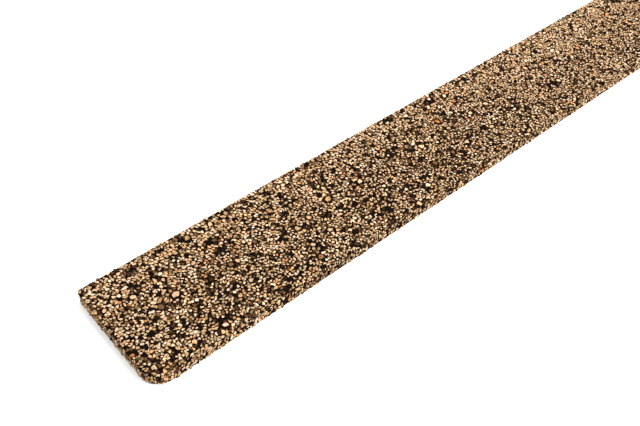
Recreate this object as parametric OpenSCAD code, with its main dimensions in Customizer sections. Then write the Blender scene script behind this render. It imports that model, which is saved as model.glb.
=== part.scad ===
// Flat strip of rubber-bonded cork for hand sanding, lying on its broad face.
// X runs along the strip, Y across it and Z up from the face it lies on.
// The origin is in the middle of the lower face.
// Coarse cork granules sit in pockets of the black rubber binder, cut flush with all six faces.

/* [Strip] */
// Length along X
strip_l = 300; // [100:5:320]
// Width along Y
strip_w = 25; // [20:1:40]
// Thickness
strip_t = 3.2; // [3:0.1:6]
// Radius that wear has given the front corner at the -X end
front_worn_r = 4; // [1:0.5:5]
// Radius that wear has given the back corner at the -X end
back_worn_r = 0.8; // [0.4:0.2:5]

/* [Granules] */
// Coarse granules in each long row
row_count = 50; // [10:1:60]
// Long rows of coarse granules on a broad face
rows = 5; // [2:1:5]
// Coarse granules in the single row on each end face
end_count = 4; // [1:1:5]
// Width of the smallest coarse granule
granule_min = 1.1; // [0.8:0.1:1.4]
// Width of the largest coarse granule
granule_max = 2.1; // [1.5:0.1:2.2]
// How deep a granule reaches below the face it shows on
granule_depth = 0.9; // [0.5:0.1:0.9]
// Seed of the random draws
seed = 7; // [1:1:99]

/* [Hidden] */

// Sorts of granule, and the share of all granules that each sort makes up
TAN = 0;
PALE = 1;
ROSE = 2;
AMBER = 3;
BROWN = 4;
BARK = 5;
shares = [0.42, 0.20, 0.12, 0.06, 0.12, 0.08];

// Layers of granules, each with its own random draws
TOP = 0;
BOTTOM = 1;
FRONT = 2;
BACK = 3;
LEFT_END = 4;
RIGHT_END = 5;

// How far a cutting body runs past the face it cuts
over = 0.2;
// Least rubber between one granule and the next
web = 0.1;
// How far the outer granules of a broad face may reach past its edge before they are cut flush
overhang = 0.6;
// Distance between granules along a long row and across a broad face
pitch_l = (strip_l + 2 * overhang) / row_count;
pitch_w = (strip_w + 2 * overhang) / rows;
// Side and end granules lie between the upper and the lower layer, so this is the widest they can be
edge_max = strip_t - 2 * granule_depth - 2 * web;

// Random numbers from 0 to 1 that belong to granule i of row j of a layer
function draws(layer, i, j) = rands(0, 1, 24, seed + 7919 * layer + 101 * i + j);

// The sort of granule that a random number from 0 to 1 falls on
function sort_of(draw, sort = 0, below = 0) =
    sort == len(shares) - 1 || draw < below + shares[sort]
        ? sort
        : sort_of(draw, sort + 1, below + shares[sort]);

// Irregular outline with 5 to 8 corners, longer than it is wide and turned at random
function outline(width, d) =
    let (
        corners = 5 + floor(4 * d[3]),
        turn = 360 * d[4],
        slim = 0.6 + 0.35 * d[5]
    )
    [
        for (k = [0 : corners - 1])
            let (
                angle = 360 * (k + 0.5 * (d[8 + k] - 0.5)) / corners,
                reach = width / 2 * (0.8 + 0.2 * d[16 + k]),
                u = reach * cos(angle),
                v = reach * sin(angle) * slim
            )
            [u * cos(turn) - v * sin(turn), u * sin(turn) + v * cos(turn)]
    ];

// One granule: a prism that stands across the face z = 0 and reaches granule_depth below it
module granule(width, d) {
    translate([0, 0, -granule_depth])
        linear_extrude(granule_depth + over)
            polygon(outline(width, d));
}

// Granules of one sort on a broad face at z = 0, each shifted at random inside its own cell
module broad_face(layer, sort) {
    shift_l = (pitch_l - granule_max - web) / 2;
    shift_w = (pitch_w - granule_max - web) / 2;
    for (i = [0 : row_count - 1], j = [0 : rows - 1]) {
        d = draws(layer, i, j);
        x = (i - (row_count - 1) / 2) * pitch_l + shift_l * (2 * d[0] - 1);
        y = (j - (rows - 1) / 2) * pitch_w + shift_w * (2 * d[1] - 1);
        if (sort_of(d[6]) == sort)
            translate([x, y, 0])
                granule(granule_min + (granule_max - granule_min) * d[2], d);
    }
}

// Granules of one sort in a single row on a narrow face at z = 0, which runs along x
module narrow_face(layer, sort, length, count) {
    pitch = (length - 2 * granule_max) / count;
    shift = (pitch - edge_max - web) / 2;
    for (i = [0 : count - 1]) {
        d = draws(layer, i, 0);
        if (sort_of(d[6]) == sort)
            translate([(i - (count - 1) / 2) * pitch + shift * (2 * d[0] - 1), 0, 0])
                granule(edge_max * (0.7 + 0.3 * d[2]), d);
    }
}

// Every granule of one sort, before it is cut flush with the faces
module placed(sort) {
    translate([0, 0, strip_t])
        broad_face(TOP, sort);
    mirror([0, 0, 1])
        broad_face(BOTTOM, sort);
    translate([0, -strip_w / 2, strip_t / 2])
        rotate([90, 0, 0])
            narrow_face(FRONT, sort, strip_l - 2 * front_worn_r, row_count);
    translate([0, strip_w / 2, strip_t / 2])
        rotate([90, 0, 180])
            narrow_face(BACK, sort, strip_l, row_count);
    translate([-strip_l / 2, 0, strip_t / 2])
        rotate([90, 0, -90])
            narrow_face(LEFT_END, sort, strip_w - 2 * front_worn_r, end_count);
    translate([strip_l / 2, 0, strip_t / 2])
        rotate([90, 0, 90])
            narrow_face(RIGHT_END, sort, strip_w, end_count);
}

// What wear has taken off a corner at the origin of a strip that lies towards +X and +Y
module worn_off(r) {
    difference() {
        translate([-over, -over, -over])
            cube([r + over, r + over, strip_t + 2 * over]);
        translate([r, r, -2 * over])
            cylinder(h = strip_t + 4 * over, r = r, $fn = 64);
    }
}

// The whole strip with no pockets
module blank() {
    difference() {
        translate([-strip_l / 2, -strip_w / 2, 0])
            cube([strip_l, strip_w, strip_t]);
        translate([-strip_l / 2, -strip_w / 2, 0])
            worn_off(front_worn_r);
        translate([-strip_l / 2, strip_w / 2, 0])
            mirror([0, 1, 0])
                worn_off(back_worn_r);
    }
}

module granules(sort) {
    intersection() {
        blank();
        placed(sort);
    }
}

module rubber_binder() {
    color("#1c1a18")
        difference() {
            blank();
            for (sort = [TAN : BARK])
                placed(sort);
        }
}

module granules_tan() {
    color("#c09868") granules(TAN);
}

module granules_pale() {
    color("#d8b480") granules(PALE);
}

module granules_rose() {
    color("#cf9f80") granules(ROSE);
}

module granules_amber() {
    color("#c87840") granules(AMBER);
}

module granules_brown() {
    color("#7a5838") granules(BROWN);
}

module bark_chips() {
    color("#4a3424") granules(BARK);
}

rubber_binder();
granules_tan();
granules_pale();
granules_rose();
granules_amber();
granules_brown();
bark_chips();
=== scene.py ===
"""A strip of rubber-bonded cork, seen from above its worn corner.

Every cork granule that shows on the strip is a small solid of its own. The granules are laid out on
the strip's faces unrolled flat: one sheet goes round the four long faces, and one sheet lies on each
end. On a sheet, a granule fills most of the space that is nearer to its seed than to any other.
The coarse granules lie where the CAD model has them. Lengths are in millimetres until the meshes
are made, which turns them into metres.
"""
import math

import bmesh
import bpy
import numpy as np
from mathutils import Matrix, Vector, geometry, kdtree, noise


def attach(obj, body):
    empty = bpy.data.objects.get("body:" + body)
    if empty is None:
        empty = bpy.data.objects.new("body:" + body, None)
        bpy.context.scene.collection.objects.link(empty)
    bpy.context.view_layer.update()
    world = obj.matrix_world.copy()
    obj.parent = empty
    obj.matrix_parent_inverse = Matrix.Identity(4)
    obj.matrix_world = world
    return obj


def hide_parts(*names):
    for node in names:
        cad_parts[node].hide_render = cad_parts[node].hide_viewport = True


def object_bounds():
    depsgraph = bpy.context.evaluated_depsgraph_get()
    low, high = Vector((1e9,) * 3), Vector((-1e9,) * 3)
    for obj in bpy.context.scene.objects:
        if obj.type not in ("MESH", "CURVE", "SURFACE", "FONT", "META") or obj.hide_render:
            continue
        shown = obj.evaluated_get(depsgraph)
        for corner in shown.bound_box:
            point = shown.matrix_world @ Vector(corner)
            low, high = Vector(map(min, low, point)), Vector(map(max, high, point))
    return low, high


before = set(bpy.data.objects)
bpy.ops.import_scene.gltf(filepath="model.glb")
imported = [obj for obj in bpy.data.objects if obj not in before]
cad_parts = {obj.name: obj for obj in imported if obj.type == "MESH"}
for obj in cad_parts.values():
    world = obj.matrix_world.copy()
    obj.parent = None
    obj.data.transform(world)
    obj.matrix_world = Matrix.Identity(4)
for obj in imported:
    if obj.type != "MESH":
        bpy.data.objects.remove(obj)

MM = 0.001
CAD_BOX = [list(corner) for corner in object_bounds()]
CENTRE = (np.array(CAD_BOX[0]) + np.array(CAD_BOX[1])) / 2 / MM
HALF = (np.array(CAD_BOX[1]) - np.array(CAD_BOX[0])) / 2 / MM
LENGTH, WIDTH, THICK = 2 * HALF
# Radii that wear has given the front and back corners at the -X end
FRONT_WORN = 4.0
BACK_WORN = 0.8

# Distance between fine granules, and how many corners granules have
GRAIN = 0.6
FINE_CORNERS = (4, 5)
EDGE_CORNERS = 6
COARSE_CORNERS = 7
# A seed this near to a long edge of the strip moves onto it, and its granule wraps round the edge
SNAP = 0.2
# Shares of the seeds that clear room for a bigger granule, or for a patch of bare rubber
BIG_SHARE = 0.05
BARE_SHARE = 0.037
CLEARED = 0.52
LONGEST_REACH = 1.1
# How many of the nearest seeds bound a granule, and the shortest reach that still makes one
NEIGHBOURS = 16
SHORTEST_REACH = 0.08
# Share of the seeds kept where wear has rounded the front corner
KEPT_AT_CORNER = 0.85
# Ranges of random factors: a fine granule's slimness and each of its corners, and a coarse one's corners
SLIMNESS = (0.5, 1)
FINE_PLAY = (0.76, 1.22)
COARSE_PLAY = (0.66, 1.02)
# In multiples of a coarse granule's outline: where fine seeds may start, and where guards stand,
# which are points that hold the fine granules back
COARSE_CLEARS = 1.4
GUARDS_AT = 0.44
# How much further a granule may stand out sideways than up
RAGGED = 5
# Lowest and highest that a granule's top may stand, and how much its middle is domed
LOWEST_TOP = -0.02
HIGHEST_TOP = 0.035
DOME = 0.008
# Depths under the strip's faces of the rubber between granules and of a granule's shoulder and root
RUBBER_DEPTH = 0.06
SHOULDER_DEPTH = 0.12
ROOT_DEPTH = 0.45
# Width of the bevel round a granule's top, and the most of its reach that the bevel may take
BEVEL = 0.05
BEVEL_SHARE = 0.16
# Draws of all the randomness in the layout start here
SEED = 5

# For each sort of cork: CAD node, material slot, share of the granules, darker and lighter colour
SORTS = {
    "tan": ("granules_tan", "cork_tan", 0.47, (0.265, 0.16, 0.075), (0.525, 0.335, 0.175)),
    "pale": ("granules_pale", "cork_pale", 0.25, (0.48, 0.33, 0.195), (0.65, 0.485, 0.32)),
    "rose": ("granules_rose", "cork_rose", 0.09, (0.43, 0.25, 0.15), (0.58, 0.38, 0.255)),
    "amber": ("granules_amber", "cork_amber", 0.014, (0.32, 0.12, 0.04), (0.46, 0.22, 0.08)),
    "brown": ("granules_brown", "cork_brown", 0.13, (0.07, 0.034, 0.014), (0.18, 0.095, 0.042)),
    "bark": ("bark_chips", "bark", 0.07, (0.010, 0.005, 0.003), (0.05, 0.022, 0.010)),
}
# A granule's cast runs from warm to cool this many times while its shade runs from dark to light
CAST_TURNS = 7
WARM = (1.14, 0.96, 0.80)
COOL = (0.90, 1.03, 1.16)


# ---------------------------------------------------------------- the strip's faces, unrolled flat

class Band:
    """The four long faces as one sheet: u runs along X, v goes up the front, over the top and round."""
    size = np.array([LENGTH, 2 * (WIDTH + THICK)])
    folds = np.cumsum([0, THICK, WIDTH, THICK, WIDTH])
    fold_y = np.array([-1, -1, 1, 1, -1]) * HALF[1]
    fold_z = np.array([-1, 1, 1, -1, -1]) * HALF[2]

    def copies(self, seeds):
        """The seeds again past each border: reflected in u, and carried round in v."""
        turn = np.array([0, self.size[1]])
        return np.vstack([
            seeds + turn, seeds - turn, reflected(seeds, 0, 0), reflected(seeds, 0, self.size[0])
        ])

    def snap(self, seeds, reach):
        """Moves each seed within reach of a long edge onto it, and says which ones moved."""
        gaps = seeds[:, 1:] - self.folds
        nearest = np.abs(gaps).argmin(1)
        moved = np.abs(gaps).min(1) < reach
        seeds[moved, 1] = self.folds[nearest[moved]] % self.size[1]
        return moved

    def room(self, seeds):
        """Distances from each seed to the long edges below and above it."""
        above = np.searchsorted(self.folds, seeds[:, 1], side="right").clip(1, 4)
        return seeds[:, 1] - self.folds[above - 1], self.folds[above] - seeds[:, 1]

    def apart(self, points, centre):
        """Steps from a centre to each point, the short way round the strip."""
        gaps = points - centre
        gaps[:, 1] = (gaps[:, 1] + self.size[1] / 2) % self.size[1] - self.size[1] / 2
        return gaps

    def to_strip(self, u, v):
        u, v = u.clip(0, self.size[0]), v % self.size[1]
        return np.stack([
            u - HALF[0], np.interp(v, self.folds, self.fold_y), np.interp(v, self.folds, self.fold_z)
        ], -1)

    def from_strip(self, points):
        """Sheet positions of those points that lie on a long face."""
        x, y, z = points.T
        faces = [
            (on_plane(y, -HALF[1]), HALF[2] + z),
            (on_plane(z, HALF[2]), THICK + HALF[1] + y),
            (on_plane(y, HALF[1]), THICK + WIDTH + HALF[2] - z),
            (on_plane(z, -HALF[2]), 2 * THICK + WIDTH + HALF[1] - y),
        ]
        v = np.select([on for on, _ in faces], [v for _, v in faces], default=-1)
        found = np.stack([x + HALF[0], v], -1)[v >= 0]
        if len(found) and np.ptp(found[:, 1]) > self.size[1] / 2:
            found[found[:, 1] < self.size[1] / 2, 1] += self.size[1]
        return found


class End:
    """One end face as a sheet: u runs across it and v goes up it."""
    size = np.array([WIDTH, THICK])

    def __init__(self, side):
        self.side = side

    def copies(self, seeds):
        """The seeds again past each border, reflected."""
        return np.vstack([reflected(seeds, axis, at) for axis in (0, 1) for at in (0, self.size[axis])])

    def snap(self, seeds, reach):
        """Moves nothing: the band's granules already wrap round the long edges."""
        return np.zeros(len(seeds), bool)

    def room(self, seeds):
        return seeds[:, 1], self.size[1] - seeds[:, 1]

    def apart(self, points, centre):
        return points - centre

    def to_strip(self, u, v):
        u, v = u.clip(0, self.size[0]), v.clip(0, self.size[1])
        return np.stack([
            np.full_like(u, self.side * HALF[0]), self.side * (u - HALF[1]), v - HALF[2]
        ], -1)

    def from_strip(self, points):
        found = points[on_plane(points[:, 0], self.side * HALF[0])]
        return np.stack([self.side * found[:, 1] + HALF[1], found[:, 2] + HALF[2]], -1)


def on_plane(values, plane):
    return np.abs(values - plane) < 0.002


def reflected(seeds, axis, at):
    copy = seeds.copy()
    copy[:, axis] = 2 * at - copy[:, axis]
    return copy


def raised(points, height, sideways=1):
    """Points on the strip's faces moved out by a height, so that faces still meet at the edges."""
    return points * (1 + height[..., None] * (sideways, sideways, 1) / HALF)


def worn(points):
    """Rounds off the corners at the -X end: squares about a corner's centre become circles."""
    for side, radius in ((-1, FRONT_WORN), (1, BACK_WORN)):
        centre = np.array([radius - HALF[0], side * (HALF[1] - radius)])
        out = (points[..., :2] - centre) * (-1, side)
        inside = (out > 0).all(-1)
        pull = out.max(-1)[inside] / np.hypot(out[..., 0], out[..., 1])[inside]
        points[inside, :2] = centre + (points[inside, :2] - centre) * pull[:, None]
    return points


# ---------------------------------------------------------------- where the granules lie

def cad_outlines(sheet):
    """Sort and outline on the sheet of each coarse granule that the CAD model shows there."""
    found = []
    for number, (node, *_) in enumerate(SORTS.values()):
        mesh = bmesh.new()
        mesh.from_mesh(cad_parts[node].data)
        bmesh.ops.remove_doubles(mesh, verts=mesh.verts, dist=0.01 * MM)
        unseen = set(mesh.verts)
        while unseen:
            island, grow = [], [unseen.pop()]
            while grow:
                vert = grow.pop()
                island.append(vert.co)
                linked = {edge.other_vert(vert) for edge in vert.link_edges} & unseen
                unseen -= linked
                grow += linked
            spots = sheet.from_strip(np.array(island) / MM - CENTRE)
            if len(spots) >= 3 and np.ptp(spots, axis=0).min() > 0.2:
                hull = geometry.convex_hull_2d([Vector(spot) for spot in spots])
                found.append((number, spots[hull]))
        mesh.free()
    found.sort(key=lambda entry: tuple(entry[1].mean(0)))
    return found


def gauge(outline, points):
    """For a convex outline about the origin: 1 on the outline, less inside and more outside."""
    along = np.roll(outline, -1, axis=0) - outline
    normals = np.stack([along[:, 1], -along[:, 0]], -1)
    level = (normals * outline).sum(1)
    keep = np.abs(level) > 1e-6
    return (points @ (normals[keep] / level[keep, None]).T).max(-1)


def scattered(size, rng):
    """Seeds all over a sheet, about one grain apart."""
    counts = np.round(size / GRAIN).astype(int)
    grid = np.stack(np.meshgrid(*[np.arange(n) + 0.5 for n in counts], indexing="ij"), -1)
    return (grid.reshape(-1, 2) + rng.uniform(-0.5, 0.5, (counts.prod(), 2))) * size / counts


def thinned(sheet, seeds, rng):
    """Drops some seeds where the worn front corner squeezes the granules together."""
    out = sheet.to_strip(*seeds.T)[:, :2] + HALF[:2] - FRONT_WORN
    return seeds[(out > 0).any(-1) | (rng.random(len(seeds)) < KEPT_AT_CORNER)]


def cleared(seeds, rng):
    """Removes the seeds round some others. Returns the rest, and which of them stay bare rubber."""
    draw = rng.random(len(seeds))
    bare = draw < BARE_SHARE
    roomy = draw < BARE_SHARE + BIG_SHARE
    tree = tree_of(seeds)
    gone = np.zeros(len(seeds), bool)
    for at in np.flatnonzero(roomy):
        if not gone[at]:
            for _, near, distance in tree.find_range((*seeds[at], 0), CLEARED):
                gone[near] |= near != at
    return seeds[~gone], bare[~gone]


def tree_of(points):
    tree = kdtree.KDTree(len(points))
    for at, point in enumerate(points):
        tree.insert((*point, 0), at)
    tree.balance()
    return tree


def reaches(seeds, near, rays, room):
    """How far each ray runs from its seed before another seed is nearer or the strip has an edge."""
    gaps = near - seeds[:, None]
    toward = np.einsum("nkc,nmc->nkm", rays, gaps)
    with np.errstate(divide="ignore"):
        bisected = np.where(toward > 0, (gaps ** 2).sum(-1)[:, None] / 2 / toward, np.inf).min(-1)
        below = np.where(rays[..., 1] < 0, room[0][:, None] / -rays[..., 1], np.inf)
        above = np.where(rays[..., 1] > 0, room[1][:, None] / rays[..., 1], np.inf)
    return np.minimum(np.minimum(bisected, LONGEST_REACH), np.minimum(below, above))


def fan_of_rays(count, corners, aligned, rng):
    """Unit rays round each seed, evenly spread with some jitter. Aligned fans have two rays along u."""
    turn = np.where(aligned, 0, rng.uniform(0, 1, count))[:, None]
    jitter = rng.uniform(-0.4, 0.4, (count, corners))
    jitter[:, [0, corners // 2]] *= ~aligned[:, None]
    angles = (np.arange(corners) + turn + jitter) * 2 * math.pi / corners
    return np.stack([np.cos(angles), np.sin(angles)], -1)


def slimmed(rays, reach, rng):
    """Draws each outline in across a random direction, and moves each corner in or out a little."""
    slim = rng.uniform(*SLIMNESS, len(rays))
    lean = rng.uniform(0, math.pi, len(rays))
    across = np.stack([np.cos(lean), np.sin(lean)], -1)
    share = (rays * across[:, None]).sum(-1) ** 2
    shrink = 1 - share * (1 - slim[:, None])
    return reach * shrink * rng.uniform(*FINE_PLAY, reach.shape)


# ---------------------------------------------------------------- granules as solids

class Granules:
    """Collects granules of one sort in one half of the strip, and makes them one mesh."""

    def __init__(self):
        self.points, self.faces, self.shades, self.count = [], [], [], 0

    def add(self, points, faces, shades):
        granules, corners = points.shape[:2]
        starts = self.count + corners * np.arange(granules)
        for face in faces:
            self.faces.append((starts[:, None] + face).tolist())
        self.points.append(points.reshape(-1, 3))
        self.shades.append(np.repeat(shades, corners))
        self.count += granules * corners

    def mesh(self, name):
        mesh = bpy.data.meshes.new(name)
        faces = [face for same in self.faces for face in same]
        mesh.from_pydata(to_metres(np.vstack(self.points)).tolist(), [], faces)
        shade = mesh.attributes.new("shade", "FLOAT", "POINT")
        shade.data.foreach_set("value", np.hstack(self.shades))
        return mesh


def to_metres(points):
    return (worn(points) + CENTRE) * MM


def granule_faces(corners):
    """Faces of a solid with a lower ring, an upper ring, a middle on top and a root below."""
    middle, root = 2 * corners, 2 * corners + 1
    faces = []
    for at in range(corners):
        after = (at + 1) % corners
        faces.append([at, after, corners + after, corners + at])
        faces.append([corners + at, corners + after, middle])
        faces.append([after, at, root])
    return np.array(faces, dtype=object)


def granule_points(sheet, seeds, rays, reach, rng):
    """Corners of each granule: its shoulder, its bevelled top, the top's middle and its root."""
    count = len(seeds)
    level = rng.uniform(-0.02, 0.025, count)[:, None]
    tilt = rng.normal(0, 0.035, (count, 1, 2))
    offsets = rays * reach[..., None]
    bevel = np.minimum(BEVEL_SHARE, BEVEL / reach.clip(BEVEL))[..., None]
    top = offsets * (1 - bevel)
    rise = level + (top * tilt).sum(-1)
    middle = np.zeros((count, 1, 2))

    def placed(offset, height, sideways=1):
        spots = seeds[:, None] + offset
        return raised(sheet.to_strip(spots[..., 0], spots[..., 1]), height, sideways)

    return np.concatenate([
        placed(offsets, np.full_like(reach, -SHOULDER_DEPTH)),
        placed(top, rise.clip(LOWEST_TOP, HIGHEST_TOP), RAGGED),
        placed(middle, level.clip(LOWEST_TOP) + DOME, RAGGED),
        placed(middle, np.full((count, 1), -ROOT_DEPTH)),
    ], axis=1)


def sheet_granules(sheet, rng, groups):
    """Lays granules all over a sheet, and shares them out to the groups by sort and half."""
    outlines = cad_outlines(sheet)
    sorts = np.array([number for number, _ in outlines])
    centres = np.array([outline.mean(0) for _, outline in outlines])
    on_edge = np.zeros(len(centres), bool)
    seeds, bare = cleared(thinned(sheet, scattered(sheet.size, rng), rng), rng)
    guards = []
    free = np.ones(len(seeds), bool)
    rays = fan_of_rays(len(centres), COARSE_CORNERS, on_edge, rng)
    reach = np.empty(rays.shape[:2])
    for at, (_, outline) in enumerate(outlines):
        around = outline - centres[at]
        free &= gauge(around, sheet.apart(seeds, centres[at])) > COARSE_CLEARS
        halfway = (around + np.roll(around, 1, axis=0)) / 2
        guards.append(centres[at] + np.vstack([around, halfway]) * GUARDS_AT)
        reach[at] = 1 / gauge(around, rays[at])
    share_out(sheet, centres, rays, reach * rng.uniform(*COARSE_PLAY, reach.shape), sorts, rng, groups)

    seeds, bare = seeds[free], bare[free]
    moved = sheet.snap(seeds, SNAP)
    everything = np.vstack([seeds, *guards])
    everything = np.vstack([everything, sheet.copies(everything)])
    tree = tree_of(everything)
    near = everything[[[at for _, at, _ in tree.find_n((*seed, 0), NEIGHBOURS)[1:]] for seed in seeds]]
    room = np.where(moved, np.inf, sheet.room(seeds))
    shares = np.array([share for _, _, share, _, _ in SORTS.values()])
    sorts = np.searchsorted(np.cumsum(shares / shares.sum()), rng.random(len(seeds)))
    corners = np.where(moved, EDGE_CORNERS, rng.choice(FINE_CORNERS, len(seeds)))
    for count in (*FINE_CORNERS, EDGE_CORNERS):
        same = np.flatnonzero((corners == count) & ~bare)
        rays = fan_of_rays(len(same), count, moved[same], rng)
        reach = slimmed(rays, reaches(seeds[same], near[same], rays, room[:, same]), rng)
        keep = reach.min(1) > SHORTEST_REACH
        chosen = same[keep]
        share_out(sheet, seeds[chosen], rays[keep], reach[keep], sorts[chosen], rng, groups)


def share_out(sheet, seeds, rays, reach, sorts, rng, groups):
    points = granule_points(sheet, seeds, rays, reach, rng)
    upper = points[:, -1, 2] > 0
    shades = rng.random(len(seeds))
    faces = granule_faces(rays.shape[1])
    for number, sort in enumerate(SORTS):
        for half, in_half in (("upper", upper), ("lower", ~upper)):
            chosen = (sorts == number) & in_half
            if chosen.any():
                groups[sort, half].add(points[chosen], faces, shades[chosen])


# ---------------------------------------------------------------- materials

def new_material(name):
    """A material with its node tree, its Principled shader and a function that adds linked nodes."""
    material = bpy.data.materials.new(name)
    material.use_nodes = True
    tree = material.node_tree
    shader = tree.nodes["Principled BSDF"]

    def node(kind, inputs=None, **settings):
        made = tree.nodes.new(kind)
        for key, value in settings.items():
            setattr(made, key, value)
        for key, value in (inputs or {}).items():
            if isinstance(value, bpy.types.NodeSocket):
                tree.links.new(value, made.inputs[key])
            else:
                made.inputs[key].default_value = value
        return made

    return material, tree, shader, node


def mix(node, factor, low, high, blend="MIX"):
    """Mixes two colours by a factor. A colour mix node has them at inputs 6 and 7, and its result at 2."""
    made = node("ShaderNodeMix", data_type="RGBA", blend_type=blend)
    tree = made.id_data
    for socket, value in ((made.inputs[0], factor), (made.inputs[6], low), (made.inputs[7], high)):
        if isinstance(value, bpy.types.NodeSocket):
            tree.links.new(value, socket)
        else:
            socket.default_value = value if isinstance(value, (int, float)) else (*value, 1)
    return made.outputs[2]


def ramp(node, value, low, high):
    """Maps the values from low to high onto 0 to 1."""
    return node(
        "ShaderNodeMapRange", {"Value": value, "From Min": low, "From Max": high}
    ).outputs["Result"]


def cork(name, dark, light):
    """Sliced cork: granules of different lightness and cast, mottled, with small dark pores."""
    material, tree, shader, node = new_material(name)
    place = node("ShaderNodeTexCoord").outputs["Object"]
    shade = node("ShaderNodeAttribute", attribute_name="shade").outputs["Fac"]
    mottle = node("ShaderNodeTexNoise", {"Vector": place, "Scale": 2600, "Detail": 4}).outputs["Fac"]
    pores = node("ShaderNodeTexVoronoi", {"Vector": place, "Scale": 7000}).outputs["Distance"]
    turns = node("ShaderNodeMath", {0: shade, 1: CAST_TURNS}, operation="MULTIPLY").outputs[0]
    cast = node("ShaderNodeMath", {0: turns}, operation="FRACT").outputs[0]
    body = mix(node, 1, mix(node, shade, dark, light), mix(node, cast, WARM, COOL), "MULTIPLY")
    mottled = mix(node, ramp(node, mottle, 0.44, 0.70), body, tuple(0.4 * c for c in dark))
    colour = mix(node, ramp(node, pores, 0.16, 0.05), mottled, tuple(0.3 * c for c in dark))
    bump = node("ShaderNodeBump", {"Height": pores, "Strength": 0.25, "Distance": 0.00003})
    tree.links.new(colour, shader.inputs["Base Color"])
    tree.links.new(bump.outputs["Normal"], shader.inputs["Normal"])
    shader.inputs["Roughness"].default_value = 0.85
    shader.inputs["Specular IOR Level"].default_value = 0.05
    return material


def rubber(name):
    """Black rubber with fine cork dust in it."""
    material, tree, shader, node = new_material(name)
    place = node("ShaderNodeTexCoord").outputs["Object"]
    dust = node("ShaderNodeTexVoronoi", {"Vector": place, "Scale": 4200}).outputs["Color"]
    grit = node("ShaderNodeTexNoise", {"Vector": place, "Scale": 3500, "Detail": 5}).outputs["Fac"]
    speck = node("ShaderNodeSeparateColor", {"Color": dust}).outputs["Red"]
    base = mix(node, grit, (0.001, 0.0006, 0.0005), (0.008, 0.0052, 0.0042))
    colour = mix(node, ramp(node, speck, 0.9, 0.95), base, (0.07, 0.035, 0.014))
    bump = node("ShaderNodeBump", {"Height": grit, "Strength": 0.5, "Distance": 0.00005})
    tree.links.new(colour, shader.inputs["Base Color"])
    tree.links.new(ramp(node, grit, -0.5, 1.6), shader.inputs["Roughness"])
    tree.links.new(bump.outputs["Normal"], shader.inputs["Normal"])
    shader.inputs["Specular IOR Level"].default_value = 0.0
    return material


# ---------------------------------------------------------------- pieces

def piece(name, mesh, material, node):
    made = bpy.data.objects.new(name, mesh)
    bpy.context.collection.objects.link(made)
    mesh.materials.append(material)
    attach(made, "root")
    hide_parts(node)
    return made


def add_granules():
    rng = np.random.default_rng(SEED)
    groups = {(sort, half): Granules() for sort in SORTS for half in ("upper", "lower")}
    for sheet in (Band(), End(-1), End(1)):
        sheet_granules(sheet, rng, groups)
    for sort, (node, slot, _, dark, light) in SORTS.items():
        material = cork(slot, dark, light)
        for half in ("upper", "lower"):
            name = f"{sort}_granules_{half}"
            piece(name, groups[sort, half].mesh(name), material, node)


def add_rubber():
    """The rubber between the granules: a block of fine grid faces, sunk a little and uneven."""
    grid = 0.75
    counts = np.round(2 * HALF / grid).astype(int)
    mesh = bmesh.new()
    for axis in range(3):
        first, second = (axis + 1) % 3, (axis + 2) % 3
        for side in (-1, 1):
            spots = {}
            for i in range(counts[first] + 1):
                for j in range(counts[second] + 1):
                    spot = np.empty(3)
                    spot[axis] = side * HALF[axis]
                    spot[first] = (2 * i / counts[first] - 1) * HALF[first]
                    spot[second] = (2 * j / counts[second] - 1) * HALF[second]
                    spots[i, j] = mesh.verts.new(spot)
            for i in range(counts[first]):
                for j in range(counts[second]):
                    corners = [spots[i, j], spots[i + 1, j], spots[i + 1, j + 1], spots[i, j + 1]]
                    mesh.faces.new(corners[::side])
    bmesh.ops.remove_doubles(mesh, verts=mesh.verts, dist=0.01)
    spots = np.array([vert.co for vert in mesh.verts])
    sink = np.array([0.03 * noise.noise(vert.co * 0.9) - RUBBER_DEPTH for vert in mesh.verts])
    for vert, spot in zip(mesh.verts, to_metres(raised(spots, sink))):
        vert.co = spot
    data = bpy.data.meshes.new("rubber")
    mesh.to_mesh(data)
    mesh.free()
    piece("rubber", data, rubber("binder"), "rubber_binder")


# ---------------------------------------------------------------- floor, light and camera

def add_floor():
    size = 1.5
    mesh = bpy.data.meshes.new("floor")
    corners = [(-size, -size, 0), (size, -size, 0), (size, size, 0), (-size, size, 0)]
    mesh.from_pydata(corners, [], [(0, 1, 2, 3)])
    floor = bpy.data.objects.new("floor", mesh)
    bpy.context.collection.objects.link(floor)
    material, _, shader, _ = new_material("floor")
    shader.inputs["Base Color"].default_value = (0.86, 0.86, 0.86, 1)
    shader.inputs["Roughness"].default_value = 0.9
    mesh.materials.append(material)


def add_light():
    world = bpy.data.worlds.new("studio")
    world.use_nodes = True
    world.node_tree.nodes["Background"].inputs["Color"].default_value = (1, 1, 1, 1)
    world.node_tree.nodes["Background"].inputs["Strength"].default_value = 1.5
    bpy.context.scene.world = world
    lamp = bpy.data.lights.new("softbox", "AREA")
    lamp.shape = "RECTANGLE"
    lamp.size, lamp.size_y = 0.3, 0.2
    lamp.energy = 2.2
    holder = bpy.data.objects.new("softbox", lamp)
    bpy.context.collection.objects.link(holder)
    holder.location = (0.06, -0.15, 0.26)
    aim = Vector((0.02, 0, 0)) - holder.location
    holder.rotation_euler = aim.to_track_quat("-Z", "Y").to_euler()
    bpy.context.scene.view_settings.view_transform = "Standard"


def add_camera():
    """Above the worn front corner, looking along the strip and down at it."""
    data = bpy.data.cameras.new("camera")
    data.sensor_width = 36
    data.lens = 42.2
    camera = bpy.data.objects.new("camera", data)
    bpy.context.collection.objects.link(camera)
    from_corner = Vector((-22.54, -67.85, 107.82)) * MM
    camera.location = Vector(CAD_BOX[0]) + from_corner
    down, turned = math.radians(44.98), math.radians(49.17)
    camera.rotation_euler = (math.pi / 2 - down, 0, turned - math.pi / 2)
    data.clip_start = 0.01
    bpy.context.scene.camera = camera


add_granules()
add_rubber()
add_floor()
add_light()
add_camera()
